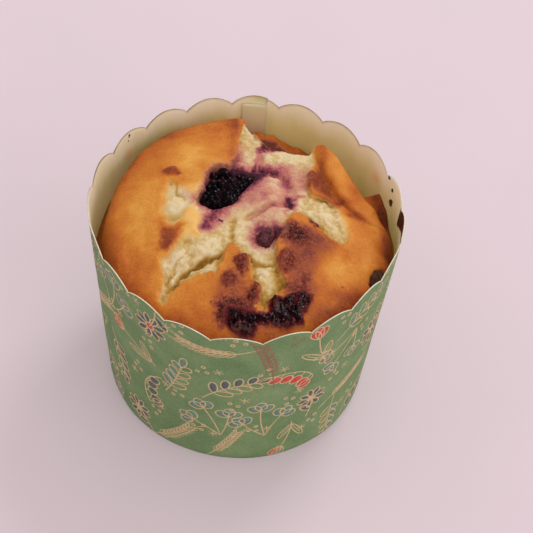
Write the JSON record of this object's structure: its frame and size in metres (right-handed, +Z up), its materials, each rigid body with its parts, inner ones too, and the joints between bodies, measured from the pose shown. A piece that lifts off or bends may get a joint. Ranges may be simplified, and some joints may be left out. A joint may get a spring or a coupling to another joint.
{
  "type": "muffin",
  "caption": "Berry muffin with a burst golden crown, in a tapered paper baking case with a scalloped rim.",
  "frame": {"origin": "middle of the base, on the surface that the case stands on", "axes": "+Z up, the height of the muffin; -Y is the front, where two glossy berries lie at the rim; +X is to the right seen from the front; the seam of the case is at the back, +Y"},
  "size_m": [0.0709, 0.072, 0.0549],
  "materials": {
    "cake": null,
    "case_paper": "matt green printed baking paper outside, oily beige inside",
    "berry": null
  },
  "bodies": {
    "root": {"muffin": "cake", "case_wall": "case_paper", "case_base": "case_paper", "berry_upper": "berry", "berry_middle": "berry", "berry_front_left": "berry", "berry_front_right": "berry", "berry_rim": "berry"}
  },
  "joints": []
}
